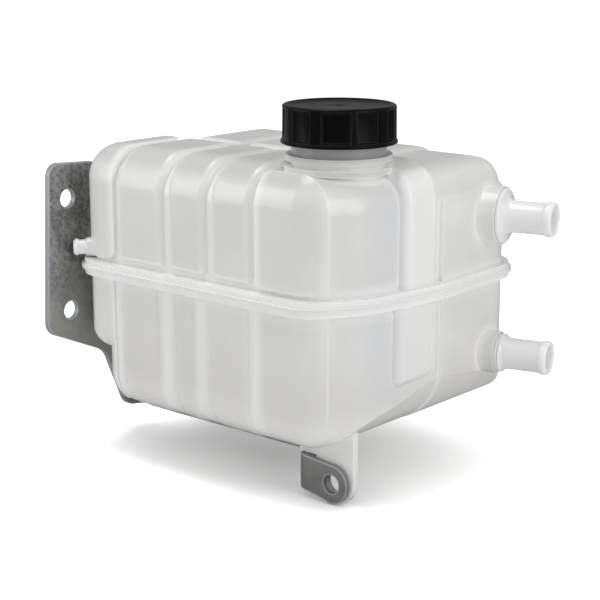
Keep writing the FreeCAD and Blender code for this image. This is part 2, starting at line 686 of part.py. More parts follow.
def make_valve_set():
    """The valve insert that hangs inside the cap: housing, seals, plungers, springs, retainer."""
    base, neck_top = size("insert_base"), size("neck_top")
    radius, lip = size("insert_radius"), size("insert_lip")
    flange = size("insert_flange")
    floor = size("wall")
    hole, plate = size("seat_bore"), size("plunger_radius")
    hub, stem = size("plunger_hub"), size("stem_radius")
    roof = size("cap_top") - size("cap_roof") - 1.2
    ledge = neck_top - 9.4
    housing = turned([
        (hole, base), (radius - 3, base), (radius - 1, base + 3), (radius - 1, base + 12), (radius - 2.6, base + 12.4),
        (radius - 2.6, base + 16), (radius, base + 16.4), (radius, neck_top + 0.1), (flange, neck_top + 0.1),
        (flange, neck_top + lip), (radius - 2.4, neck_top + lip), (radius - 2.4, ledge),
        (radius - 5.2, ledge), (radius - 5.2, base + floor), (hole, base + floor),
    ])
    seat = base + floor
    seal = Part.makeTorus(radius - 1.1, 1.45, Vector(0, 0, base + 14.2))
    plunger = turned([
        (stem + 0.3, seat + 2), (plate, seat + 2), (plate, seat + 4.4), (hub + 1, seat + 4.4), (hub, seat + 8),
        (stem + 0.3, seat + 8)])
    vacuum = turned([
        (0, seat + 0.2), (hub + 0.6, seat + 0.2), (hub + 0.6, seat + 2), (stem, seat + 2), (stem, seat + 12.4),
        (stem + 2.1, seat + 12.4), (stem + 2.1, seat + 13.8), (0, seat + 13.8)])
    retainer = ring(radius - 2.5, hub, ledge, ledge + 2)
    for i in range(4):
        angle = math.radians(45 + 90 * i)
        retainer = retainer.cut(Part.makeCylinder(
            3, 4, Vector(radius / 2 * math.cos(angle), radius / 2 * math.sin(angle), ledge - 1)))
    return [
        feature("valve_housing", housing),
        feature("neck_seal", seal),
        feature("cap_liner", ring(flange - 0.6, radius - 6.6, neck_top + lip, roof)),
        feature("pressure_seal", ring(plate - 0.6, hub + 1.6, seat, seat + 2)),
        feature("pressure_plunger", plunger),
        feature("vacuum_valve", vacuum),
        feature("spring_retainer", retainer),
        feature("pressure_spring", coil(size("spring_radius"), size("spring_wire"), seat + 4.4, ledge, 3)),
        feature("vacuum_spring", coil(
            size("small_spring_radius"), size("small_spring_wire"), seat + 8, seat + 12.4, 2.5)),
    ]


def coil(radius, wire, low, high, turns):
    """A coil spring between two faces, its round wire on a helix."""
    rise = high - low - 2 * wire
    helix = Part.makeHelix(rise / turns, rise, radius)
    circle = Part.Wire(Part.makeCircle(wire, Vector(radius, 0, 0), Vector(0, 1, 0)))
    spring = Part.Wire(helix.Edges).makePipeShell([circle], True, True)
    spring.translate(Vector(0, 0, low + wire))
    return spring


pieces = [
    make_upper_shell(),
    make_lower_shell(),
    make_hose_fitting("upper_hose_fitting", "upper_spigot_z", "pad_radius"),
    make_hose_fitting("lower_hose_fitting", "lower_spigot_z", "low_pad_radius"),
    make_vent_fitting(),
    make_bracket(),
    make_bush(),
    make_cap(),
]
pieces += make_screws()
pieces += make_valve_set()

# Every piece moves by the same step, so that the origin comes to the mounting holes.
mid_hole = (size("upper_hole_z") + size("lower_hole_z")) / 2
origin = Placement(Vector(-size("plate_x"), -size("plate_hole_y"), -mid_hole), Rotation())
for piece in pieces:
    piece.Placement = origin.multiply(piece.Placement)

doc.recompute()
for thing in doc.Objects:
    if "Invalid" in thing.State or "Error" in thing.State:
        raise RuntimeError("%s did not build" % thing.Label)
for piece in pieces:
    if piece.Shape.isNull() or not piece.Shape.isValid():
        raise RuntimeError("%s has no valid shape" % piece.Label)
os.makedirs("parts", exist_ok=True)
for piece in pieces:
    piece.Shape.exportStep("parts/%s.step" % piece.Label)
    box = piece.Shape.BoundBox
    print("%-22s solids %d  volume %.0f  x %.1f..%.1f  y %.1f..%.1f  z %.1f..%.1f" % (
        piece.Label, len(piece.Shape.Solids), piece.Shape.Volume,
        box.XMin, box.XMax, box.YMin, box.YMax, box.ZMin, box.ZMax))
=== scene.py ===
# %% [markdown]
# # A coolant expansion tank
# The tank is two milky plastic mouldings welded along a flange, with a black screw cap,
# two hose spigots, a moulded leg and a folded steel bracket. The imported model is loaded
# first. What it shows well only gets a finish, and what needs finer detail is modelled
# here in the same place and at the same size.

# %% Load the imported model
import json
import math

import bmesh
import bpy
from mathutils import Matrix, Vector


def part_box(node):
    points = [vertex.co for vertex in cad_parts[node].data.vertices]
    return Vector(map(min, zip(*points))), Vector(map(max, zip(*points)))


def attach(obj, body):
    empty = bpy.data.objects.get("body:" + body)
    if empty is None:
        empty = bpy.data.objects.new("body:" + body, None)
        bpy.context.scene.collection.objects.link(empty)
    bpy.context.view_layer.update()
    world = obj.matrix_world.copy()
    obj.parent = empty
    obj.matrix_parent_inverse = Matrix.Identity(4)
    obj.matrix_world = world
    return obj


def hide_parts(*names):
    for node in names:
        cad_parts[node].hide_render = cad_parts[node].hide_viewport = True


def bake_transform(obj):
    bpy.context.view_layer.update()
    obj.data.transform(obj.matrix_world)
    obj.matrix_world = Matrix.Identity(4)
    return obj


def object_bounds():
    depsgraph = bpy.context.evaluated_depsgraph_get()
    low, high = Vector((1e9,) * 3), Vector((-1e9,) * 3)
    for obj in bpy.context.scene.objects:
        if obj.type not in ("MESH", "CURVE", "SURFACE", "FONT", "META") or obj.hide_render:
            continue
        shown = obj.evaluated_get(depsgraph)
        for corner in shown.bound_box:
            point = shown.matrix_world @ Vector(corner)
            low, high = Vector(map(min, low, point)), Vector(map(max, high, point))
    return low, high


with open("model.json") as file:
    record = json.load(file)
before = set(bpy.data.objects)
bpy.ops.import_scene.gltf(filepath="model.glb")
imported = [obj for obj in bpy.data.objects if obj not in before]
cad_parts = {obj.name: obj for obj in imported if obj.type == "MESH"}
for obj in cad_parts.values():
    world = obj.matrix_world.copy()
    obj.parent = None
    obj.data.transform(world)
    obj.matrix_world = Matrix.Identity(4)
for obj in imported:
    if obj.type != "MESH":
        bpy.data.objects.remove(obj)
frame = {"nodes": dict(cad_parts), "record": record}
cad_bounds = [list(corner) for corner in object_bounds()]
print("nodes:", sorted(frame["nodes"]))
print("solid model from", cad_bounds[0], "to", cad_bounds[1])

# %% [markdown]
# ## Places that several pieces share
# Sizes are in metres. The neck's axis and the weld plane are where the solid model has
# them, so a piece made here goes onto the tank with no fitting. The spigots point out of
# the rear right corner, turned a little towards the back.

# %% Shared places
MM = 0.001
NECK = Vector((203 * MM, 55 * MM, 0.0))
WELD = -5 * MM
GROUND = cad_bounds[0][2]
SPIGOT_TURN = math.radians(13.6)


def from_neck(x, y, z):
    """A point given in millimetres from the neck's axis and the weld plane."""
    return Vector((NECK.x + x * MM, NECK.y + y * MM, WELD + z * MM))


print("neck at", tuple(NECK), "ground at", round(GROUND, 4))

# %% [markdown]
# ## Working as by hand
# Every new piece starts as a primitive, or as a copy of its solid, and is shaped in edit
# mode. An operator acts on all that is selected, so each step first clears the selection
# and then picks faces or edges by where they lie or which way they face. A finished piece
# has its place in its mesh, so its object can stay at the origin.

# %% Helpers for selecting
NEAR = 1e-6  # two points closer than this, in metres, count as one


def deselect_all():
    """Leaves object mode with nothing selected, so an operator acts only on what follows."""
    if bpy.context.object and bpy.context.object.mode != "OBJECT":
        bpy.ops.object.mode_set(mode="OBJECT")
    bpy.ops.object.select_all(action="DESELECT")


def work_on(piece):
    """Makes one piece the active and only selected one."""
    deselect_all()
    bpy.context.view_layer.objects.active = piece
    piece.select_set(True)


def edit(piece, kind="FACE"):
    """Opens a piece in edit mode with nothing selected."""
    work_on(piece)
    bpy.ops.object.mode_set(mode="EDIT")
    bpy.ops.mesh.select_mode(type=kind)
    bpy.ops.mesh.select_all(action="DESELECT")


def pick_faces(piece, test):
    """Selects the faces whose centre and normal pass the test, and returns how many."""
    mesh = bmesh.from_edit_mesh(piece.data)
    count = 0
    for face in mesh.faces:
        chosen = bool(test(face.calc_center_median(), face.normal))
        face.select_set(chosen)
        count += chosen
    bmesh.update_edit_mesh(piece.data)
    return count


def pick_edges(piece, test):
    """Selects the edges whose two ends pass the test, and returns how many."""
    mesh = bmesh.from_edit_mesh(piece.data)
    count = 0
    for edge in mesh.edges:
        chosen = bool(test(edge.verts[0].co, edge.verts[1].co))
        edge.select_set(chosen)
        count += chosen
    bmesh.update_edit_mesh(piece.data)
    return count


print("helpers for selecting are ready")

# %% Helpers for shaping


def apply_place(piece):
    """Puts the piece's place, turn and scale into its mesh."""
    work_on(piece)
    bpy.ops.object.transform_apply(location=True, rotation=True, scale=True)


def add_modifier(piece, kind, **settings):
    """Adds a modifier, sets it and applies it."""
    work_on(piece)
    bpy.ops.object.modifier_add(type=kind)
    modifier = piece.modifiers[-1]
    for key, value in settings.items():
        setattr(modifier, key, value)
    bpy.ops.object.modifier_apply(modifier=modifier.name)


def close_up(piece, angle):
    """Merges doubles, closes open ends, turns faces outward and smooths edges under the angle."""
    edit(piece, "VERT")
    bpy.ops.mesh.select_all(action="SELECT")
    bpy.ops.mesh.remove_doubles(threshold=NEAR)
    bpy.ops.mesh.fill_holes(sides=0)
    bpy.ops.mesh.normals_make_consistent(inside=False)
    bpy.ops.object.mode_set(mode="OBJECT")
    bpy.ops.object.shade_smooth_by_angle(angle=math.radians(angle))


def rings(name, profile, sides):
    """A round piece about Z: a circle is added, then extruded and scaled ring by ring.

    The profile is a list of (radius, height) in millimetres that goes once round the
    section, and the last ring is bridged to the first.
    """
    deselect_all()
    radius, height = profile[0]
    bpy.ops.mesh.primitive_circle_add(vertices=sides, radius=radius * MM, fill_type="NOTHING",
                                      location=(0, 0, height * MM))
    piece = bpy.context.object
    piece.name = name
    apply_place(piece)
    bpy.ops.object.mode_set(mode="EDIT")
    bpy.ops.mesh.select_mode(type="EDGE")
    bpy.ops.mesh.select_all(action="SELECT")
    for new_radius, new_height in profile[1:]:
        bpy.ops.mesh.extrude_edges_move()
        bpy.ops.transform.translate(value=(0, 0, (new_height - height) * MM))
        scale = new_radius / radius
        bpy.ops.transform.resize(value=(scale, scale, 1), center_override=(0, 0, new_height * MM))
        radius, height = new_radius, new_height

    def on_ring(point, ring):
        """Whether a point lies on one ring of the profile."""
        beside = math.hypot(point.x, point.y) - ring[0] * MM
        return abs(beside) < NEAR and abs(point.z - ring[1] * MM) < NEAR

    ends = (profile[0], profile[-1])
    edit(piece, "EDGE")
    pick_edges(piece, lambda a, b: any(on_ring(a, ring) and on_ring(b, ring) for ring in ends))
    bpy.ops.mesh.bridge_edge_loops()
    bpy.ops.object.mode_set(mode="OBJECT")
    return piece


def set_down(piece, place, turn=None):
    """Moves a piece made about the origin to its place, and fixes that in its mesh."""
    piece.location = place
    if turn is not None:
        piece.rotation_euler = turn
    apply_place(piece)


print("helpers for shaping are ready")

# %% [markdown]
# ## The camera
# The camera looks from a little above, with the lobed front to the left and the hose side
# to the right. A long lens keeps the upright edges nearly parallel.

# %% Camera
LOOK_DOWN = 13.60  # degrees below level
LOOK_ROUND = 40.6  # degrees from the front towards the hose side
camera_data = bpy.data.cameras.new("camera")
camera_data.lens = 93.0
camera_data.sensor_width = 36.0
camera_data.clip_start = 0.05
camera_data.clip_end = 20.0
camera = bpy.data.objects.new("camera", camera_data)
bpy.context.collection.objects.link(camera)
camera.location = (0.8212, -0.7044, 0.2252)
camera.rotation_euler = (math.radians(90 - LOOK_DOWN), 0.0, math.radians(LOOK_ROUND))
bpy.context.scene.camera = camera
print("camera at", tuple(round(v, 4) for v in camera.location))

# %% [markdown]
# ## Shader maths
# A finish is a small program of nodes. One class wraps a number socket so that masks can
# be written as sums and products, and one method adds any other node.

# %% A number that nodes work out


class Value:
    """A number socket that can be used in Python expressions."""

    def __init__(self, shader, socket):
        self.shader = shader
        self.socket = socket

    def _math(self, operation, first, second=None):
        node = self.shader.add("ShaderNodeMath", operation=operation)
        self.shader.put(node.inputs[0], first)
        if second is not None:
            self.shader.put(node.inputs[1], second)
        return Value(self.shader, node.outputs[0])

    def __add__(self, other):
        return self._math("ADD", self, other)

    def __sub__(self, other):
        return self._math("SUBTRACT", self, other)

    def __rsub__(self, other):
        return self._math("SUBTRACT", other, self)

    def __mul__(self, other):
        return self._math("MULTIPLY", self, other)

    __radd__ = __add__
    __rmul__ = __mul__


print("sums on sockets are ready")

# %% A material's nodes


class Shader:
    """A material's node tree, with one method for any node."""

    def __init__(self, name):
        self.material = bpy.data.materials.new(name)
        self.material.use_nodes = True
        self.tree = self.material.node_tree
        self.surface = self.tree.nodes["Principled BSDF"]
        self.place = self.add("ShaderNodeTexCoord").outputs["Object"]

    def put(self, socket, value):
        """Links a value to a socket, or writes it there where it is a plain number or colour."""
        if isinstance(value, Value):
            self.tree.links.new(value.socket, socket)
        elif isinstance(value, bpy.types.NodeSocket):
            self.tree.links.new(value, socket)
        else:
            socket.default_value = value

    def add(self, kind, inputs=None, **settings):
        """Adds a node of any type, with its settings first and then its sockets."""
        node = self.tree.nodes.new(kind)
        for key, value in settings.items():
            setattr(node, key, value)
        for key, value in (inputs or {}).items():
            self.put(node.inputs[key], value)
        return node

    def axes(self):
        """The three object coordinates, in metres."""
        node = self.add("ShaderNodeSeparateXYZ", {"Vector": self.place})
        return [Value(self, node.outputs[i]) for i in range(3)]

    def noise(self, scale, detail=3.0, roughness=0.5, place=None):
        """Cloudy noise from nought to one. Its scale is about how many lumps fit in a metre."""
        node = self.add("ShaderNodeTexNoise", {
            "Vector": place or self.place, "Scale": scale, "Detail": detail, "Roughness": roughness})
        return Value(self, node.outputs["Fac"])

    def stretched(self, x, y, z):
        """Object coordinates scaled by axis, for streaks."""
        node = self.add("ShaderNodeMapping", {"Vector": self.place, "Scale": (x, y, z)})
        return node.outputs["Vector"]

    def ramp(self, value, low, high, start=0.0, end=1.0):
        """Goes softly from start to end while the value goes from low to high."""
        node = self.add("ShaderNodeMapRange", {
            "Value": value, "From Min": low, "From Max": high, "To Min": start, "To Max": end},
            interpolation_type="SMOOTHSTEP")
        return Value(self, node.outputs["Result"])

    def between(self, value, low, high, edge):
        """One inside the span and nought outside it, with soft edges."""
        rise = self.ramp(value, low - edge, low + edge)
        return rise * self.ramp(value, high - edge, high + edge, 1.0, 0.0)

    def line(self, value, middle, reach):
        """One on a line, falling softly to nought at the reach on either side."""
        rise = self.ramp(value, middle - reach, middle)
        return rise * self.ramp(value, middle, middle + reach, 1.0, 0.0)

    def sharp(self, radius, low=0.02, high=0.16):
        """One on edges that a bevel of the radius would round, nought on flat faces."""
        bevel = self.add("ShaderNodeBevel", {"Radius": radius}, samples=6)
        face = self.add("ShaderNodeNewGeometry")
        normals = {0: bevel.outputs["Normal"], 1: face.outputs["Normal"]}
        dot = self.add("ShaderNodeVectorMath", normals, operation="DOT_PRODUCT")
        return self.ramp(1.0 - Value(self, dot.outputs["Value"]), low, high)

    def hollow(self, reach):
        """One in corners and channels that are narrower than the reach, nought in the open."""
        node = self.add("ShaderNodeAmbientOcclusion", {"Distance": reach}, samples=8, only_local=True)
        return 1.0 - Value(self, node.outputs["AO"])

    def blend(self, mask, first, second):
        """The first colour where the mask is nought and the second where it is one."""
        node = self.add("ShaderNodeMix", data_type="RGBA")
        self.put(node.inputs["Factor"], mask)
        first_color, second_color = [s for s in node.inputs if s.type == "RGBA"]
        self.put(first_color, first)
        self.put(second_color, second)
        return [s for s in node.outputs if s.type == "RGBA"][0]

    def bump(self, height, strength, distance):
        """A normal that follows a height, for grain too fine to model."""
        node = self.add("ShaderNodeBump", {
            "Strength": strength, "Distance": distance, "Height": height})
        return node.outputs["Normal"]

    def set(self, **values):
        """Fills the main shader's sockets, with _ for a blank in a socket's name."""
        for key, value in values.items():
            self.put(self.surface.inputs[key.replace("_", " ")], value)


def color(r, g, b):
    return (r, g, b, 1.0)


def grey(value):
    return (value, value, value)


def scaled(rgb, factor):
    """A colour made lighter or darker by a factor."""
    return color(*[factor * v for v in rgb])


print("materials can be made")

# %% [markdown]
# ## Milky plastic
# Natural polypropylene lets some light in and scatters it, so a wall is brightest where
# it stands proud or is thick, as along channels, corners, the band on the hose side and
# the flange, and greyer in its broad thin faces and round the neck. It could be left to
# scattered light alone, but a thin closed wall shows little of that. So the colour itself
# carries it as painted light and painted shade: masks find each form by its place, its
# hollows or its edges, and each one tints the plastic a little. The pocket, the top and
# the neck under the cap get painted shade. The channels, corners, hollows, band, underside
# and left end get painted light, and the edges and the flange get painted highlights.
# Slow clouds and faint upright flow lines break up the faces, and a little subsurface
# scattering softens the light.

# %% Where the tank's forms lie
# In metres. A pair is where a mask is nought and where it is full, or a form's two sides.
UPPER_CHANNELS = [0.052, 0.100, 0.139, 0.179]  # X of the channels between the front lobes
LOWER_CHANNELS = [0.052, 0.100, 0.132, 0.179]  # and of those below the flange
UPPER_REACH, LOWER_REACH = 0.010, 0.011  # how far a channel's light spreads each way
ABOVE_WELD = (-0.006, -0.004)  # Z, from the lower half to the upper
FRONT = (0.075, 0.062)  # Y, from the middle to the lobed front
RIGHT_CORNER = (0.234, 0.245)  # X - Y towards the front right corner
LEFT_CORNER = (0.034, 0.022)  # X + Y towards the front left corner
FLANGE = (-0.0108, 0.0008)  # Z of the flange's two faces
NECK_WALL = (0.00119, 0.00112)  # squared distance from the neck's axis
NECK_FOOT = (0.0820, 0.0852)  # Z where the neck stands clear of the tank
UPPER_BAND, LOWER_BAND = (0.064, 0.097), (0.057, 0.097)  # Y of the band on the hose side
BAND_FACE = (0.240, 0.246)  # X of its face
BAND_FOOT = (-0.062, -0.058)  # Z of its lower end
POCKET = (0.010, 0.064)  # Y of the flat pocket beside the band
POCKET_FACE = (0.238, 0.245)  # X of its face
TOP = (0.066, 0.074)  # Z where the shoulder turns into the top
LOW = (-0.02, -0.10)  # Z down the lower half
UNDERSIDE = (-0.066, -0.094)  # Z where the lower half rounds under
LEFT_END = (0.050, 0.020)  # X towards the left end
print("channels above and below the flange:", len(UPPER_CHANNELS), len(LOWER_CHANNELS))

# %% Milky plastic


def milky_plastic(name, face, light, warm):
    """Plastic in three tones: its broad faces, the painted light on its bright forms and its darker, warmer
    lower part, with painted shade on some faces.
    """
    shader = Shader(name)
    x, y, z = shader.axes()
    cloud = shader.noise(14.0, 3.0, 0.55)
    flow = shader.noise(1.0, 1.5, 0.5, shader.stretched(34.0, 34.0, 6.0))
    grain = shader.noise(900.0, 2.0)
    above = shader.ramp(z, *ABOVE_WELD)
    below = 1.0 - above
    channels = sum(shader.line(x, middle, UPPER_REACH) for middle in UPPER_CHANNELS) * above
    channels = channels + sum(shader.line(x, middle, LOWER_REACH) for middle in LOWER_CHANNELS) * below
    corners = shader.ramp(x - y, *RIGHT_CORNER) + shader.ramp(x + y, *LEFT_CORNER)
    off_axis = (x - NECK.x) * (x - NECK.x) + (y - NECK.y) * (y - NECK.y)
    neck = shader.ramp(off_axis, *NECK_WALL) * shader.ramp(z, *NECK_FOOT)
    hollows = shader.ramp(shader.hollow(0.010), 0.03, 0.40) * (1.0 - neck)
    band = shader.between(y, *UPPER_BAND, 0.0008) * above + shader.between(y, *LOWER_BAND, 0.0008) * below
    band = band * shader.ramp(x, *BAND_FACE) * shader.ramp(z, *BAND_FOOT)
    pocket = shader.between(y, *POCKET, 0.004) * shader.ramp(x, *POCKET_FACE)
    bright = color(*light)
    tone = shader.blend(shader.ramp(cloud, 0.2, 0.8), scaled(face, 1.03), scaled(face, 0.93))
    for mask, tint in [
        # Painted shade: the pocket greyer and bluer.
        (0.75 * pocket, color(0.665, 0.68, 0.705)),
        # The lower half darker and warmer towards the bottom.
        (0.7 * shader.ramp(z, *LOW), color(*warm)),
        # Painted shade: the top darker than the sides.
        (0.75 * shader.ramp(z, *TOP), scaled(face, 0.72)),
        # Painted light: the underside, and the left end below the flange, lighter.
        (0.9 * shader.ramp(z, *UNDERSIDE), scaled(face, 1.08)),
        (0.7 * shader.ramp(x, *LEFT_END) * below, bright),
        # Painted light along the channels and on the two front corners.
        (0.75 * channels * shader.ramp(y, *FRONT), bright),
        (0.75 * corners, bright),
        # Painted light in the hollows, and painted highlights on the edges.
        (0.9 * hollows, bright),
        (0.6 * shader.sharp(0.0014), bright),
        # Painted light on the band, and painted highlights on the flange's lips.
        ((0.45 + 0.35 * above) * band, bright),
        (0.6 * shader.between(z, *FLANGE, 0.0004), bright),
        (0.10 * shader.ramp(flow, 0.15, 0.85), bright),
        # Painted shade on the neck under the cap.
        (0.73 * neck, color(0.29, 0.305, 0.32)),
    ]:
        tone = shader.blend(mask, tone, tint)
    shader.set(
        Base_Color=tone,
        Roughness=0.27,
        Normal=shader.bump(cloud + grain * 0.01, 0.06, 0.0010),
        Coat_Weight=0.35,
        Coat_Roughness=0.26,
        Subsurface_Weight=0.25,
        Subsurface_Radius=grey(0.010),
        Subsurface_Scale=1.0,
    )
    return shader.material


# %% [markdown]
# ## Bare steel
# The bracket is hot-rolled sheet with a dull, mottled satin face. Its sheared edges and
# the rims of its holes are brighter, with a bluish cast, partly as bare cut metal and
# partly as a painted highlight. A bevel node finds the rims, and the plate's end face is
# found by its place and by which way it faces. The plate's lower part gets painted light,
# and its ear gets painted shade.

# %% Steel


def dark_steel(name):
    """Mottled sheet steel with bluish cut edges, partly painted highlight, and painted light and shade on
    its lower part and ear.
    """
    shader = Shader(name)
    mottle = shader.noise(330.0, 5.0, 0.75)
    patch = shader.noise(45.0, 4.0, 0.6)
    scuff = shader.noise(1.0, 4.0, 0.6, shader.stretched(60.0, 60.0, 900.0))
    normal = shader.add("ShaderNodeNewGeometry").outputs["Normal"]
    facing = shader.add("ShaderNodeSeparateXYZ", {"Vector": normal})
    sideways = Value(shader, facing.outputs[0])
    x, _, z = shader.axes()
    ear = shader.ramp(x, 0.15, 0.19) * shader.ramp(z, -0.08, -0.10)
    end_face = shader.ramp(sideways * sideways, 0.35, 0.05) * shader.ramp(x, 0.0050, 0.0042)
    shade = shader.ramp(mottle * 0.65 + patch * 0.35, 0.38, 0.62)
    tone = shader.blend(shade, color(0.150, 0.149, 0.143), color(0.40, 0.397, 0.385))
    for mask, tint in [
        # Painted light on the plate's lower part.
        (0.7 * shader.ramp(z, 0.01, -0.05), color(0.40, 0.40, 0.385)),
        # Painted shade on the ear.
        (0.5 * ear, color(0.19, 0.19, 0.19)),
        (0.25 * shader.ramp(scuff, 0.5, 0.75), color(0.40, 0.40, 0.395)),
        # Bright bluish rims and end face: bare cut metal and painted highlight.
        (0.8 * shader.sharp(0.0022, 0.008, 0.07), color(0.62, 0.67, 0.72)),
        (0.8 * end_face, color(0.42, 0.46, 0.49)),
    ]:
        tone = shader.blend(mask, tone, tint)
    shader.set(
        Base_Color=tone,
        Metallic=0.55,
        Roughness=shader.ramp(mottle * 0.6 + patch * 0.4, 0.3, 0.7, 0.36, 0.56),
        Normal=shader.bump(mottle * 0.7 + scuff * 0.3, 0.18, 0.00025),
    )
    return shader.material


# %% [markdown]
# ## The other finishes
# The cap is black plastic with a fine satin grain, and its edges carry a thin painted highlight.
# The screws and the ring in the leg are zinc plated. The rubber is matt, and the springs
# are drawn wire. Each of these is one noise in two tones, given its own scale and gloss.

# %% Other finishes


def black_plastic(name, base, worn_and_edge_highlight, low, high):
    """Black plastic between two roughnesses, with real wear patches and painted highlights on its edges."""
    shader = Shader(name)
    grain = shader.noise(1100.0, 3.0, 0.6)
    wear = shader.noise(70.0, 4.0, 0.65)
    tone = shader.blend(shader.ramp(wear, 0.5, 0.75), color(*base), color(*worn_and_edge_highlight))
    # Painted highlight on the edges, from the worn tone made much paler.
    tone = shader.blend(0.8 * shader.sharp(0.0012, 0.01, 0.08), tone, scaled(worn_and_edge_highlight, 14.0))
    shader.set(
        Base_Color=tone,
        Roughness=shader.ramp(grain * 0.5 + wear * 0.5, 0.3, 0.7, low, high),
        Normal=shader.bump(grain, 0.12, 0.0002),
        Specular_IOR_Level=0.13,
    )
    return shader.material


def plain_finish(name, first, second, metallic, low, high, scale):
    """A fine grain between two greys and two roughnesses."""
    shader = Shader(name)
    grain = shader.noise(scale, 3.0, 0.6)
    shader.set(
        Base_Color=shader.blend(shader.ramp(grain, 0.3, 0.7), color(*grey(first)), color(*grey(second))),
        Metallic=metallic,
        Roughness=shader.ramp(grain, 0.3, 0.7, low, high),
        Normal=shader.bump(grain, 0.1, 0.0002),
    )
    return shader.material


FINISHES = {
    "tank_plastic": milky_plastic(
        "milky_tank", (0.775, 0.768, 0.757), (0.95, 0.947, 0.94), (0.645, 0.633, 0.600)),
    "fitting_plastic": milky_plastic(
        "milky_fitting", (0.90, 0.90, 0.905), (0.95, 0.95, 0.95), (0.87, 0.87, 0.86)),
    "bracket_steel": dark_steel("dark_bracket_steel"),
    "screw_steel": plain_finish("zinc_screw", 0.5, 0.6, 0.9, 0.3, 0.4, 300),
    "bush_steel": plain_finish("zinc_bush", 0.4, 0.5, 0.9, 0.35, 0.45, 300),
    "cap_plastic": black_plastic("black_cap", (0.0009, 0.0009, 0.0010), grey(0.003), 0.30, 0.44),
    "valve_plastic": black_plastic("black_valve", grey(0.012), grey(0.02), 0.4, 0.5),
    "rubber": plain_finish("black_rubber", 0.015, 0.025, 0.0, 0.6, 0.75, 400),
    "spring_steel": plain_finish("spring_wire", 0.45, 0.55, 0.9, 0.25, 0.35, 400),
}
for entry in frame["record"]["subparts"]:
    node = frame["nodes"][entry["node"]]
    node.data.materials.clear()
    node.data.materials.append(FINISHES[entry["material_slot"]])
print("finishes:", len(FINISHES))


def dress(piece, slot, body, *nodes):
    """Gives a piece its finish and its body if it keeps to one, and hides the nodes that it stands for."""
    piece.data.materials.clear()
    piece.data.materials.append(FINISHES[slot])
    if body:
        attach(piece, body)
    if nodes:
        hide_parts(*nodes)
    print(piece.name, "faces:", len(piece.data.polygons))


# %% [markdown]
# ## The screw cap
# The real cap is one black moulding: a skirt with grip ribs of uneven width, sunk panels
# between them, a small lip at the foot, and a shallow dished top inside a rounded rim. It
# could be ribs stuck on a drum, but moulded ribs grow out of the skirt. So the drum is
# extruded ring by ring, the panels are chosen by angle and pushed in as inset regions,
# and a bevel rounds the sharp edges that are left.

# %% Cap
# Each rib's two sides, in degrees round from the side that CAP_TURN puts in front, and the
# same five again half round.
CAP_RIBS = [(-62, -52), (-30, -18), (12, 18), (40, 56), (70, 84)]
CAP_RIBS += [(low + 180, high + 180) for low, high in CAP_RIBS]
CAP_TURN = math.radians(-50.8)
PINHOLE, PINHOLE_TOP, PINHOLE_FOOT = 1.0 * MM, 118.8 * MM, 116.7 * MM
SKIRT, PANEL_FOOT, PANEL_TOP = 36 * MM, 100 * MM, 118 * MM
cap = rings("screw_cap", [
    (31.3, 96.5), (37.1, 96.5), (37.3, 97.0), (37.3, 98.0), (36.9, 98.6), (36.6, 98.9), (36.6, 99.3),
    (36.4, 118.9), (36.3, 119.6), (35.9, 120.3), (35.2, 120.8), (34.3, 121.0), (33.2, 120.9), (32.4, 120.4),
    (31.0, 119.7), (16.0, 119.3), (1.8, 119.2), (1.0, 118.8), (1.0, 116.7), (31.3, 116.7),
], sides=180)


def in_pinhole(point):
    """Whether a point lies on the pinhole's wall or rims."""
    return math.hypot(point.x, point.y) < 1.01 * PINHOLE


# The rings leave a pinhole on the axis. Its wall goes, and a face closes it above and below.
edit(cap)
pick_faces(cap, lambda c, n: in_pinhole(c) and abs(n.z) < 0.1)
bpy.ops.mesh.delete(type="ONLY_FACE")
for height in (PINHOLE_TOP, PINHOLE_FOOT):
    edit(cap, "EDGE")
    pick_edges(cap, lambda a, b: all(in_pinhole(p) and abs(p.z - height) < 0.01 * MM for p in (a, b)))
    bpy.ops.mesh.edge_face_add()
bpy.ops.object.mode_set(mode="OBJECT")
cap.rotation_euler = (0, 0, CAP_TURN)
apply_place(cap)


def on_rib(point):
    """Whether a point's direction from the axis falls on one of the ribs."""
    turn = math.degrees(math.atan2(point.y, point.x) - CAP_TURN) % 360
    return any((turn - low) % 360 < high - low for low, high in CAP_RIBS)


edit(cap)
count = pick_faces(cap, lambda c, n: math.hypot(c.x, c.y) > SKIRT and PANEL_FOOT < c.z < PANEL_TOP
                   and not on_rib(c))
bpy.ops.mesh.inset(thickness=0.7 * MM, depth=-1.7 * MM)
bpy.ops.object.mode_set(mode="OBJECT")
add_modifier(cap, "BEVEL", width=0.45 * MM, segments=3, limit_method="ANGLE",
             angle_limit=math.radians(32))
set_down(cap, (NECK.x, NECK.y, WELD))
close_up(cap, 40)
dress(cap, "cap_plastic", "cap", "cap_shell")
print("cap faces pushed in:", count)

# %% [markdown]
# ## The screw thread
# The cap holds by a coarse thread: a ridge winds round the neck, and another winds round
# inside the cap, half a turn further on. It could be cut from the wall, but a moulded
# thread stands on it. So a small section is swept along a screw line, which is what the
# Screw modifier does with an outline beside its axis.

# %% Threads
PITCH = 6.0  # millimetres a turn, as the cap's joints have it
THREAD_START = 100.2  # millimetres above the weld plane


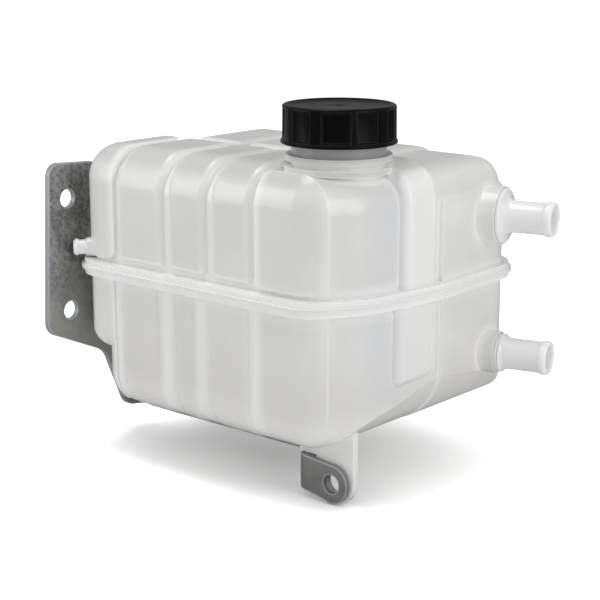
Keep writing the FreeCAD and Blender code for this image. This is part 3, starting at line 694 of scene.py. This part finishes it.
def thread(name, inner, outer, inner_half, outer_half, turns):
    """A ridge wound round Z, whose section is given by two radii and half its width at each."""
    deselect_all()
    bpy.ops.mesh.primitive_plane_add(size=1.0 * MM)
    ridge = bpy.context.object
    ridge.name = name
    corners = {(-1, -1): (inner, -inner_half), (1, -1): (outer, -outer_half),
               (1, 1): (outer, outer_half), (-1, 1): (inner, inner_half)}
    for vertex in ridge.data.vertices:
        key = (1 if vertex.co.x > 0 else -1, 1 if vertex.co.y > 0 else -1)
        radius, height = corners[key]
        vertex.co = (radius * MM, 0, (THREAD_START + height) * MM)
    steps = int(64 * turns)
    add_modifier(ridge, "SCREW", angle=math.tau * turns, screw_offset=PITCH * turns * MM, steps=steps,
                 render_steps=steps, axis="Z", use_normal_calculate=True)
    return ridge


neck_thread = thread("neck_thread", 28.2, 30.3, 1.7, 0.8, turns=1.5)
set_down(neck_thread, (NECK.x, NECK.y, WELD))
close_up(neck_thread, 30)
dress(neck_thread, "tank_plastic", "tank")
cap_thread = thread("cap_thread", 31.4, 29.2, 1.6, 0.8, turns=1.4)
set_down(cap_thread, (NECK.x, NECK.y, WELD), (0, 0, math.pi))
close_up(cap_thread, 30)
dress(cap_thread, "cap_plastic", "cap")

# %% [markdown]
# ## The valve's springs
# Two coil springs are hidden in the cap's valve. A coil that rode on one body would cut
# through the other when the valve opens, so each coil is attached to neither body: it is a
# round wire wound by the Screw modifier.

# %% Springs
WIRE = 1.0 * MM  # half the thickness of the pressure spring's wire
THIN_WIRE = 0.45 * MM  # and of the vacuum spring's


def coil_spring(name, node, wire, turns):
    """A coil in the place of a node, wound from the node's low end to its high end."""
    low, high = [Vector(corner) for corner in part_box(node)]
    radius = (high.x - low.x) / 2 - wire
    deselect_all()
    bpy.ops.mesh.primitive_circle_add(vertices=12, radius=wire, fill_type="NGON",
                                      location=(radius, 0, 0), rotation=(math.radians(90), 0, 0))
    spring = bpy.context.object
    spring.name = name
    apply_place(spring)
    steps = int(36 * turns)
    add_modifier(spring, "SCREW", angle=math.tau * turns, screw_offset=high.z - low.z - 2 * wire,
                 steps=steps, render_steps=steps, axis="Z", use_normal_calculate=True)
    set_down(spring, (NECK.x, NECK.y, low.z + wire))
    close_up(spring, 60)
    dress(spring, "spring_steel", None, node)
    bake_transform(spring)


coil_spring("pressure_coil", "pressure_spring", WIRE, 3)
coil_spring("vacuum_coil", "vacuum_spring", THIN_WIRE, 2.5)

# %% [markdown]
# ## The hose spigots
# Each spigot is a short tube on a round pad, with a soft bead at its end that keeps the
# hose on. It could be spun from a curve, but a turned piece is quickest as rings, extruded
# and scaled from one circle. The rings lie close at the pad and the bead, so that both
# look softly moulded.

# %% Hose spigots


def hose_spigot(name, pad, height, node):
    """A spigot with a pad of a given radius, at a height above the weld plane, in millimetres."""
    base = [(pad - 0.4, 0.0), (pad, 0.2), (pad, 1.6), (pad - 0.5, 2.2), (pad - 1.4, 2.5), (13.4, 3.0)]
    tube = [(12.2, 3.7), (11.3, 5.2), (10.8, 7.4), (10.75, 16.0), (10.7, 29.2)]
    bead = [(11.0, 30.1), (11.55, 30.7), (11.8, 31.6), (11.8, 33.8), (11.5, 34.9), (10.8, 35.7)]
    mouth = [(9.9, 36.0), (9.0, 35.9), (8.3, 35.3), (8.0, 34.4), (8.0, 18.0)]
    spigot = rings(name, [(8.0, 0.0)] + base + tube + bead + mouth, sides=96)
    turn = Matrix.Rotation(SPIGOT_TURN, 4, "Z") @ Matrix.Rotation(math.radians(90), 4, "Y")
    set_down(spigot, from_neck(55, 108, height), turn.to_euler())
    close_up(spigot, 45)
    dress(spigot, "fitting_plastic", "tank", node)


hose_spigot("upper_hose_spigot", 18.5, 40.5, "upper_hose_fitting")
hose_spigot("lower_hose_spigot", 13.0, -54.5, "lower_hose_fitting")

# %% [markdown]
# ## The folded bracket
# The solid model has the bracket's true folds, holes and outline, but every edge of it is
# knife sharp, and sheared steel is not. The copy of a solid is made of loose triangles,
# so it is merged and its flat faces are dissolved first. Then one bevel breaks the edges.

# %% Bracket


def softened_copy(node_name, piece_name, width, segments):
    """A copy of a solid with its triangles merged, flat faces cleaned and edges broken."""
    solid = frame["nodes"][node_name]
    copy = solid.copy()
    copy.data = solid.data.copy()
    for key in [k for k in copy.keys() if k.startswith("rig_")]:
        del copy[key]
    copy.parent = None
    bpy.context.collection.objects.link(copy)
    copy.name = piece_name
    edit(copy, "VERT")
    bpy.ops.mesh.select_all(action="SELECT")
    bpy.ops.mesh.remove_doubles(threshold=2e-6)
    bpy.ops.mesh.dissolve_limited(angle_limit=math.radians(2.0))
    bpy.ops.object.mode_set(mode="OBJECT")
    add_modifier(copy, "BEVEL", width=width, segments=segments, limit_method="ANGLE",
                 angle_limit=math.radians(40), use_clamp_overlap=True, harden_normals=False)
    bpy.ops.object.shade_smooth_by_angle(angle=math.radians(35))
    return copy


bracket = softened_copy("mounting_bracket", "bracket_sheet", 0.6 * MM, 3)
dress(bracket, "bracket_steel", "tank", "mounting_bracket")

# %% [markdown]
# ## Small moulded marks
# Where the plastic was injected, the valley on top keeps a small round pip. A flattened
# ball with its cap pushed in is enough for it.

# %% Gate pip
PIP_RADIUS = 2.6 * MM
PIP_DENT = 0.35 * MM
deselect_all()
bpy.ops.mesh.primitive_uv_sphere_add(segments=32, ring_count=16, radius=PIP_RADIUS)
pip = bpy.context.object
pip.name = "gate_pip"
pip.scale = (1, 1, 0.45)
apply_place(pip)
edit(pip)
pick_faces(pip, lambda c, n: n.z > 0.96)
bpy.ops.transform.translate(value=(0, 0, -PIP_DENT))
bpy.ops.object.mode_set(mode="OBJECT")
set_down(pip, from_neck(-103, 12, 79))
close_up(pip, 60)
dress(pip, "tank_plastic", "tank")

# %% [markdown]
# ## The floor and the light
# The object stands on white in even studio light. To the camera the floor is a very
# bright diffuse surface with a faint glow, so it burns out to white in the open and keeps
# the object's soft shadow. Close to the object an ambient occlusion mask turns the floor's
# brightness down, a painted shadow on top of the lamps' real one. To the object's own
# bounces it is plain white, and glossy faces see it and the world dimmer, so that the
# plastic doesn't lose its form. A broad lamp overhead gives the shadow, and one on each
# side draws the long highlights.

# %% Floor and backdrop
FLOOR_GAIN = 1.55  # how bright the floor is to the camera, in the open
# Close to the object the floor keeps only this share of its brightness, as painted shadow.
FLOOR_PAINTED_SHADOW_SHARE = 0.72  # the share of that which is left close to the object
FLOOR_GLOW = 0.08
FLOOR_DROP = 0.0005  # the gap below the object, in metres


def floor_material():
    """White floor that looks burnt out to the camera, as in a studio, but keeps the shadow and deepens it
    near the object as a painted shadow.
    """
    shader = Shader("white_floor")
    tree = shader.tree
    path = shader.add("ShaderNodeLightPath")
    patch = shader.blend(shader.noise(3.0, 2.0), color(0.86, 0.86, 0.86), color(0.88, 0.88, 0.88))
    mirrored = Value(shader, path.outputs["Is Glossy Ray"])
    shader.set(Base_Color=shader.blend(mirrored, patch, color(0.30, 0.30, 0.30)), Roughness=0.9,
               Specular_IOR_Level=0.1)
    glow = shader.add("ShaderNodeEmission", {"Color": color(1, 1, 1), "Strength": FLOOR_GLOW})
    # Painted shadow: the floor's camera brightness drops where ambient occlusion finds the object close.
    around = shader.add("ShaderNodeAmbientOcclusion", {"Distance": 0.10}, samples=16)
    open_air = shader.ramp(Value(shader, around.outputs["AO"]), 0.25, 0.85)
    gain = shader.blend(open_air, color(*grey(FLOOR_GAIN * FLOOR_PAINTED_SHADOW_SHARE)), color(*grey(FLOOR_GAIN)))
    bright = shader.add("ShaderNodeBsdfDiffuse", {"Color": gain})
    added = shader.add("ShaderNodeAddShader")
    tree.links.new(bright.outputs[0], added.inputs[0])
    tree.links.new(glow.outputs[0], added.inputs[1])
    choice = shader.add("ShaderNodeMixShader", {"Fac": path.outputs["Is Camera Ray"]})
    tree.links.new(shader.surface.outputs[0], choice.inputs[1])
    tree.links.new(added.outputs[0], choice.inputs[2])
    tree.links.new(choice.outputs[0], tree.nodes["Material Output"].inputs["Surface"])
    return shader.material


deselect_all()
bpy.ops.mesh.primitive_plane_add(size=30.0, location=(0.1, 0.1, GROUND - FLOOR_DROP))
floor = bpy.context.object
floor.name = "floor"
floor.data.materials.append(floor_material())
print("floor at", round(GROUND, 4))

# %% World
WORLD_LIGHT = 0.62
WORLD_IN_GLOSS = 0.36
world = bpy.data.worlds.new("studio")
bpy.context.scene.world = world
world.use_nodes = True
background = world.node_tree.nodes["Background"]
background.inputs["Color"].default_value = color(1, 1, 1)
world_path = world.node_tree.nodes.new("ShaderNodeLightPath")
dimmed = world.node_tree.nodes.new("ShaderNodeMapRange")
dimmed.inputs["To Min"].default_value = WORLD_LIGHT
dimmed.inputs["To Max"].default_value = WORLD_IN_GLOSS
world.node_tree.links.new(world_path.outputs["Is Glossy Ray"], dimmed.inputs["Value"])
world.node_tree.links.new(dimmed.outputs["Result"], background.inputs["Strength"])
print("world light:", WORLD_LIGHT)

# %% Lamps
MIDDLE = Vector((0.13, 0.08, 0.0))


def soft_lamp(name, place, width, height, power):
    """A rectangular lamp whose own -Z axis points at the object's middle."""
    lamp = bpy.data.lights.new(name, "AREA")
    lamp.shape = "RECTANGLE"
    lamp.size = width
    lamp.size_y = height
    lamp.energy = power
    thing = bpy.data.objects.new(name, lamp)
    bpy.context.collection.objects.link(thing)
    thing.location = place
    way = MIDDLE - thing.location
    thing.rotation_euler = way.to_track_quat("-Z", "Y").to_euler()
    print("lamp", name, "of", power, "W")


soft_lamp("over", (-0.14, -0.06, 1.5), 0.8, 0.8, 8.0)
soft_lamp("left", (-0.9, -1.1, 0.45), 0.35, 1.1, 4.0)
soft_lamp("right", (1.5, 0.0, 0.5), 0.5, 1.1, 5.2)

# %% [markdown]
# ## Closing
# The imported model's box is kept in cad_bounds, and the colours are shown with the
# standard view transform.

# %% View transform
bpy.context.scene.view_settings.view_transform = "Standard"
